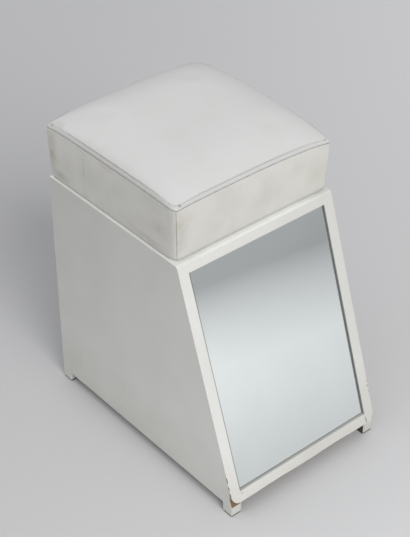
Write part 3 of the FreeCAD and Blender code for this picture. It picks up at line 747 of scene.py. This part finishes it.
def rowShift(u, v, height):
    # How far a row sinks towards each corner, most at the front right one and least at the round front left
    # one, and rises along the fuller back and right sides. The rows low down stay level, and the topstitching
    # sinks closer to the seam at each corner.
    near, right, front = np.abs(u * v), (1 + u) / 2, (1 - v) / 2
    fuller = cushion["backLift"] * (1 - front) * (1 - u ** 4) + cushion["rightLift"] * right * (1 - v ** 4)
    sunk = near ** 5 * (cushion["backSink"] + cushion["frontSink"] * front)
    sunk = sunk + cushion["rightSink"] * front * right * near ** 1.5
    sunk = sunk - cushion["cornerRise"] * cornerShare(u, v)
    reach, above = [np.clip((height - low) / (high - low), 0, 1)
                    for low, high in (cushion["liftsFrom"], cushion["closesFrom"])]
    return (fuller - sunk) * reach - near ** 11 * above


def cushionSteps():  # places along a side: closer near the corners, with one right beside each corner seam
    even = np.linspace(-1, 1, cushion["grid"] - 2)
    steps = 0.5 * even + 0.5 * np.sin(even * math.pi / 2)
    return np.sort(np.append(steps, [cushion["besideSeam"], -cushion["besideSeam"]]))


def cushionTop(u, v):  # the crowned top: a squarish dome over the height of its edge
    level = (1 - np.abs(u) ** cushion["squareness"]) * (1 - np.abs(v) ** cushion["squareness"])
    lift = cushion["crown"] * np.maximum(level, 0) ** cushion["fullness"]
    height, inset, radius, flare = cushion["topEdge"]
    top = cushionPoint(u, v, height + lift, inset, radius, flare, cushion["bow"])
    top[..., 2] += rowShift(u, v, height)
    return top


def rowMarks(height, inset, held, corner):
    # How much of each mark a row holds: bell curves over its distance from the seam, from the topstitching,
    # from the nearer of the two and from the foot; corner is 1 on the corner seams.
    fromSeam, fromStitches = [math.hypot(height - cushion[key][0], inset - cushion[key][1])
                              for key in ("seam", "topstitch")]
    far = {"seam": fromSeam, "topstitch": fromStitches, "grime": min(fromSeam, fromStitches), "foot": height}
    even = np.ones(len(corner))
    marks = {key: even * math.exp(-(far[key] / width) ** 2) for key, width in cushion["markWidths"].items()}
    marks["cornerSeam"] = corner * (height < cushion["seam"][0])
    marks["boxing"] = even * (height < cushion["seam"][0] + 0.1)
    marks["held"] = even * held
    return marks


def cushionSurface():
    # One closed skin: a square grid for the crowned top, rows that follow its border down the sides, and the
    # same grid again, flat, underneath. With it come the marks that the leather reads and the points that are
    # held.
    count = cushion["grid"]
    steps = cushionSteps()
    u, v = np.meshgrid(steps, steps, indexing="ij")
    index = np.arange(count * count).reshape(count, count)
    border = np.concatenate([index[:-1, 0], index[-1, :-1], index[:0:-1, -1], index[0, :0:-1]])
    borderU, borderV = u.ravel()[border], v.ravel()[border]
    corner = (np.abs(borderU * borderV) > 0.999).astype(float)
    inwards = -np.stack([np.sign(borderU), np.sign(borderV)], 1) * corner[:, None]
    rows, marks = [], []
    for height, inset, radius, flare, held in cushionRows[::-1]:
        row = cushionPoint(borderU, borderV, height, inset, radius, flare, -cushion["draw"])
        if cushion["tuck"] < height < cushion["seam"][0]:  # the corner seams lie in a groove
            row[:, :2] += inwards * cushion["cornerSeamDeep"]
        row[:, 2] += rowShift(borderU, borderV, height)
        rows.append(row)
        marks.append(rowMarks(height, inset, held, corner))
    height, inset, radius, flare = cushion["under"]
    under = cushionPoint(u, v, height, inset, radius, flare, -cushion["draw"])
    points = np.vstack([cushionTop(u, v).reshape(-1, 3), *rows, under.reshape(-1, 3)])
    side = np.arange(len(rows) * len(border)).reshape(len(rows), -1) + count * count
    underIndex = index + side.max() + 1
    loops = np.vstack([border, side, border + side.max() + 1])
    beside = np.roll(loops, -1, 1)
    quads = np.stack([loops[:-1], loops[1:], beside[1:], beside[:-1]], -1).reshape(-1, 4)
    above, below = [np.stack([i[:-1, :-1], i[1:, :-1], i[1:, 1:], i[:-1, 1:]], -1).reshape(-1, 4)
                    for i in (index, underIndex)]
    blank = np.zeros(count * count)
    edge = 1 - np.maximum(np.abs(u), np.abs(v)).ravel()
    # the top's edge takes the grime band as painted shade
    onTop = {"grime": np.exp(-(edge * 60 + 1) ** 2)}
    underneath = {"boxing": 1, "held": 1}
    values = {}
    for key in marks[0]:
        inRows = np.concatenate([row[key] for row in marks])
        values[key] = np.concatenate([blank + onTop.get(key, 0), inRows, blank + underneath.get(key, 0)])
    return points, np.vstack([above, quads, below]).tolist(), values


leather = {
    # the top is painted darker than the sides, painted shade that evens out the stronger light on the top;
    # the topShade and boxingShade tones are random drift
    "top": "#cbcbcb", "topShade": "#c9c9c8", "boxing": "#d4d3cf", "boxingShade": "#cbcac4",
    "grain": 1.6, "pores": 0.9, "drift": 45, "blotch": 9,
    "roughness": (0.42, 0.58), "specular": 0.4, "relief": 0.18, "pucker": 1.6,
    "dark": "#2b2724", "grime": "#8d897c", "foot": "#7c776a", "leftFrom": (-143, -139),
}
# dirt worked into the leather, and painted shade: the band round the seams and the top's edge is painted
# shade with some grime, stronger on the shaded left side, and the band at the foot is a painted contact
# shadow with dirt. Each has its colour, and its strength on the left side and elsewhere
dirtAndShade = {
    "foot": ("foot", 0.15, 0.20), "grime": ("grime", 0.14, 0.05), "stitched": ("dark", 0.03, 0.20),
    "seam": ("dark", 0.75, 0.85), "cornerSeam": ("dark", 0.55, 0.62),
}
# stains; the first is painted shade on the top's left shoulder, and the last three are painted shade for
# the small dark gaps where the stitching ends at three corners: colour, strength, centre and radii
stainsAndShade = [
    # the first: painted shade on the top's left shoulder, where it rounds away from the light
    ("#8d897c", 0.24, (-150, 66, 500), (20, 160, 16)), ("#98938a", 0.50, (-146, -83, 446), (34, 6, 52)),
    ("#98938a", 0.20, (-145, -74, 446), (8, 12, 46)), ("#d3a79c", 0.20, (-118, -81, 466), (20, 6, 14)),
    ("#cfc3a3", 0.26, (-139, -81, 460), (8, 6, 32)), ("#7f7464", 0.22, (-147, -50, 443), (6, 34, 22)),
    ("#b98f86", 0.26, (-147, 76, 482), (6, 22, 6)), ("#8b877c", 0.34, (-148, 127, 455), (5, 1.8, 38)),
    ("#b2b39f", 0.28, (128, -81, 436), (34, 8, 40)), ("#98957c", 0.50, (-148, 205, 450), (8, 16, 48)),
    ("#8b886c", 0.50, (-148, 186, 413), (6, 26, 12)), ("#8f8b80", 0.40, (-143, 195, 500), (14, 20, 12)),
    ("#8a8375", 0.35, (-148, -20, 412), (6, 50, 9)),
    # painted shade for the small dark gaps where the stitching ends
    ("#2a2521", 1.0, (-135.4, -79.2, 492.0), (4.6, 3.6, 3.2)),
    ("#2a2521", 1.0, (140.5, -79.8, 489.0), (3.4, 3.0, 3.2)),
    ("#2a2521", 0.45, (-144.5, 205.7, 493.0), (4.4, 4.4, 4.0)),
]


def stainedAndShaded(tree, place, blotch, colour):  # the stains and painted shade, broken up by blotches
    broken = addNode(tree, "MapRange", {"Value": blotch, "From Min": 0.3, "From Max": 0.62, "To Min": 0.45})
    for tint, strength, centre, radii in stainsAndShade:
        near = spot(tree, place, centre, radii)
        soft = addNode(tree, "Math", {"operation": "MULTIPLY", 0: near, 1: strength})
        share = addNode(tree, "Math", {"operation": "MULTIPLY", 0: soft, 1: broken})
        colour = addNode(tree, "MixRGB", {"Fac": share, "Color1": colour, "Color2": tint})
    return colour


def soiledAndShaded(tree, apart, blotch, marks, colour):  # dirt, and painted shade near seams and foot
    worked = addNode(tree, "MapRange", {"Value": blotch, "From Min": 0.25, "From Max": 0.6, "To Min": 0.55})
    outer, inner = [x * mm for x in leather["leftFrom"]]
    for key, (tint, onLeft, elsewhere) in dirtAndShade.items():
        strength = addNode(tree, "MapRange", {"Value": apart.outputs["X"], "From Min": outer,
                                              "From Max": inner, "To Min": onLeft, "To Max": elsewhere})
        share = addNode(tree, "Math", {"operation": "MULTIPLY", 0: strength, 1: marks[key]})
        share = addNode(tree, "Math", {"operation": "MULTIPLY", 0: share, 1: worked})
        colour = addNode(tree, "MixRGB", {"Fac": share, "Color1": colour, "Color2": leather[tint]})
    return colour


def whiteLeather():
    # Finished white leather, aged: a fine even grain, a low soft shine, sides a little yellower than the
    # top and the top painted darker as painted shade, dirt worked into the seams with painted shade round
    # them and at the foot, puckers between them at the pitch of the stitches, and old stains with some
    # painted shade.
    material, tree, shader, place = newMaterial("aged white leather")
    grain = addNode(tree, "TexVoronoi", {"feature": "SMOOTH_F1", "Vector": place,
                                         "Scale": perMetre(leather["grain"])})
    details = {"pores": 3.0, "drift": 5.0, "blotch": 4.0}
    pores, drift, blotch = [addNode(tree, "TexNoise", {"Vector": place, "Scale": perMetre(leather[key]),
                                                       "Detail": detail}) for key, detail in details.items()]
    share = addNode(tree, "MapRange", {"Value": drift, "From Min": 0.35, "From Max": 0.7})
    top, sides = [addNode(tree, "MixRGB", {"Fac": share, "Color1": leather[key],
                                           "Color2": leather[key + "Shade"]}) for key in ("top", "boxing")]
    marks = {key: addNode(tree, "Attribute", {"attribute_name": key}).outputs["Fac"]
             for key in ("boxing", "seam", "topstitch", "grime", "foot", "cornerSeam")}
    colour = addNode(tree, "MixRGB", {"Fac": marks["boxing"], "Color1": top, "Color2": sides})
    colour = stainedAndShaded(tree, place, blotch, colour)
    # along all four sides x + y moves with the seam, so its sine at the stitch pitch marks every stitch
    apart = addNode(tree, "SeparateXYZ", {"Vector": place})
    along = addNode(tree, "Math", {"operation": "ADD", 0: apart.outputs["X"], 1: apart.outputs["Y"]})
    turns = 2 * math.pi * perMetre(cushion["pitch"])
    phase = addNode(tree, "Math", {"operation": "MULTIPLY", 0: along, 1: turns})
    wave = addNode(tree, "Math", {"operation": "SINE", 0: phase})
    dashes = addNode(tree, "MapRange", {"Value": wave, "From Min": -1.0, "From Max": 1.0, "To Min": 0.35,
                                        "To Max": 1.0})
    marks["stitched"] = addNode(tree, "Math", {"operation": "MULTIPLY", 0: marks["topstitch"], 1: dashes})
    colour = soiledAndShaded(tree, apart, blotch, marks, colour)
    smooth, dull = leather["roughness"]
    rough = addNode(tree, "MapRange", {"Value": drift, "To Min": smooth, "To Max": dull})
    relief = addNode(tree, "Math", {"operation": "ADD", 0: grain, 1: pores})
    pucker = addNode(tree, "Math", {"operation": "MULTIPLY", 0: wave, 1: marks["grime"]})
    relief = addNode(tree, "Math", {"operation": "MULTIPLY_ADD", 0: pucker, 1: leather["pucker"],
                                    2: relief})
    bump = addNode(tree, "Bump", {"Height": relief, "Strength": 0.35, "Distance": leather["relief"] * mm})
    setNode(tree, shader, {"Base Color": colour, "Roughness": rough, "Normal": bump,
                           "Specular IOR Level": leather["specular"]})
    return material


thread = {"tone": "#b9b6ac", "dirt": "#8d897c", "ply": 0.8, "roughness": 0.8}


def threadFinish():
    # Twisted sewing thread, once white: dull, grey with handling, with the slant of its plies. The wave
    # repeats about three times in a unit, and the plies are drawn twice as coarse as they are, to show.
    material, tree, shader, place = newMaterial("twisted sewing thread")
    plies = addNode(tree, "TexWave", {"Vector": place, "Scale": perMetre(thread["ply"]) / 6,
                                      "Distortion": 1.0})
    colour = addNode(tree, "MixRGB", {"Fac": plies, "Color1": thread["tone"], "Color2": thread["dirt"]})
    setNode(tree, shader, {"Base Color": colour, "Roughness": thread["roughness"]})
    return material


seatBoard = {"inset": 4.5, "corner": 15, "above": 1.2, "thick": 12, "arris": 0.4}


def addSeatBoard():  # a plywood board under the foam, kept inside the cushion's rounded lower corners
    halfX, halfY = [cushion[key] - seatBoard["inset"] for key in ("halfX", "halfY")]
    outline = rectangle(0, cushion["middleY"], halfX, halfY)
    low = cushion["base"] + seatBoard["above"]
    rings = slabRings(outline, seatBoard["corner"], low, low + seatBoard["thick"], seatBoard["arris"], 8)
    addFlatPiece("seat_base_board", rings, birchPly)


def stitchPath():  # the topstitching's line round the cushion, closed, and how far along it each point lies
    side = np.linspace(-1, 1, 400, endpoint=False)
    full = np.ones(len(side))
    u = np.concatenate([side, full, -side, -full])
    v = np.concatenate([-full, side, full, -side])
    height, inset, radius, flare = next(row[:4] for row in cushionRows if row[:2] == cushion["topstitch"])
    path = cushionPoint(u, v, height, inset, radius, flare, -cushion["draw"])
    path[:, 2] += rowShift(u, v, height)
    path = np.vstack([path, path[:1]])
    steps = np.linalg.norm(np.diff(path, axis=0), axis=1)
    return path, np.concatenate([[0], np.cumsum(steps)])


def addStitches():
    # Each stitch is a short round of thread that rises out of one hole, arches over the leather and enters
    # the next: five rings of six points across the line, the end ones small and sunk.
    path, length = stitchPath()
    number = round(length[-1] / cushion["pitch"])
    share = np.linspace(0, 1, 5)
    at = (np.arange(number)[:, None] + 0.5) * length[-1] / number + (share - 0.5) * cushion["stitch"]
    middles = np.stack([np.interp(at, length, path[:, i]) for i in range(3)], -1)
    forward = np.gradient(middles, axis=1)
    forward /= np.linalg.norm(forward, axis=2, keepdims=True)
    outwards = np.stack([forward[..., 1], -forward[..., 0], 1 + 0 * forward[..., 2]], -1) / math.sqrt(2)
    sideways = np.cross(forward, outwards)
    thick = cushion["thread"]
    angle = np.arange(6) * math.pi / 3
    wide = thick * np.array([0.5, 0.95, 1.0, 0.95, 0.5])[:, None]
    lift = thick * np.array([-0.4, 0.9, 1.3, 0.9, -0.4])[:, None] + wide * np.sin(angle)
    rings = middles[:, :, None] + sideways[:, :, None] * (wide * np.cos(angle))[None, :, :, None]
    rings = rings + outwards[:, :, None] * lift[None, :, :, None]
    points, faces = [], []
    for stitch in rings:
        stitchPoints, quads = skinRings(stitch)
        first = len(points) * len(stitchPoints)
        faces += [[i + first for i in face] for face in quads]
        points.append(stitchPoints)
    addPiece("topstitching", np.vstack(points), faces, threadFinish())
    print(number, "stitches")


def settleCloth(piece, held):
    # Cloth over the stuffing: held rows stay, the rest is blown up a little, and no point moves past the cap.
    mesh = piece.data
    start = np.empty(len(mesh.vertices) * 3)
    mesh.vertices.foreach_get("co", start)
    start = start.reshape(-1, 3)
    trial = bpy.data.objects.new("cloth trial", mesh.copy())
    bpy.context.collection.objects.link(trial)
    group = trial.vertex_groups.new(name="held")
    group.add(np.flatnonzero(held > 0.5).tolist(), 1.0, "REPLACE")
    cloth = trial.modifiers.new("cloth", "CLOTH")
    cloth.settings.vertex_group_mass = "held"
    cloth.settings.use_pressure = True
    cloth.settings.uniform_pressure_force = cushion["pressure"]
    cloth.settings.effector_weights.gravity = 0
    cloth.settings.tension_stiffness = cushion["stiffness"]
    cloth.settings.compression_stiffness = cushion["stiffness"]
    cloth.settings.bending_stiffness = cushion["bending"]
    cloth.settings.quality = cushion["quality"]
    cloth.collision_settings.use_collision = False
    cloth.point_cache.frame_start, cloth.point_cache.frame_end = 1, cushion["frames"]
    for number in range(1, cushion["frames"] + 1):
        scene.frame_set(number)
    settled = trial.evaluated_get(bpy.context.evaluated_depsgraph_get()).to_mesh()
    end = np.empty(len(settled.vertices) * 3)
    settled.vertices.foreach_get("co", end)
    move = end.reshape(-1, 3) - start
    ends = np.array([edge.vertices[:] for edge in mesh.edges])
    beside = np.bincount(ends.ravel(), minlength=len(move))[:, None]
    for number in range(cushion["smoothings"]):  # evens out the finest wrinkles; held points stay
        total = np.zeros_like(move)
        np.add.at(total, ends[:, 0], move[ends[:, 1]])
        np.add.at(total, ends[:, 1], move[ends[:, 0]])
        move = np.where(held[:, None] > 0.5, 0, 0.5 * move + 0.5 * total / beside)
    far = np.linalg.norm(move, axis=1)[:, None]
    cap = cushion["mostMove"] * mm
    print(f"cloth moved at most {far.max() / mm:.2f} mm, on average {far.mean() / mm:.2f} mm, before the cap")
    mesh.vertices.foreach_set("co", (start + move * cap / (cap + far)).ravel())
    bpy.data.objects.remove(trial)
    scene.frame_set(1)
    mesh.update()


def addCushion():
    points, faces, values = cushionSurface()
    nodes = ["cover_top_panel", "cover_boxing_front", "cover_boxing_right", "cover_boxing_back",
             "cover_boxing_left", "seat_foam"]
    piece = addPiece("cushion", points, faces, whiteLeather(), nodes, values)
    numbers = np.empty(len(piece.data.vertices), np.float32)
    piece.data.attributes["held"].data.foreach_get("value", numbers)
    settleCloth(piece, numbers)
    finer = piece.modifiers.new("finer", "SUBSURF")
    finer.levels = finer.render_levels = cushion["subdivisions"]
    return piece


addCushion()
addSeatBoard()
addStitches()
print("cushion made")
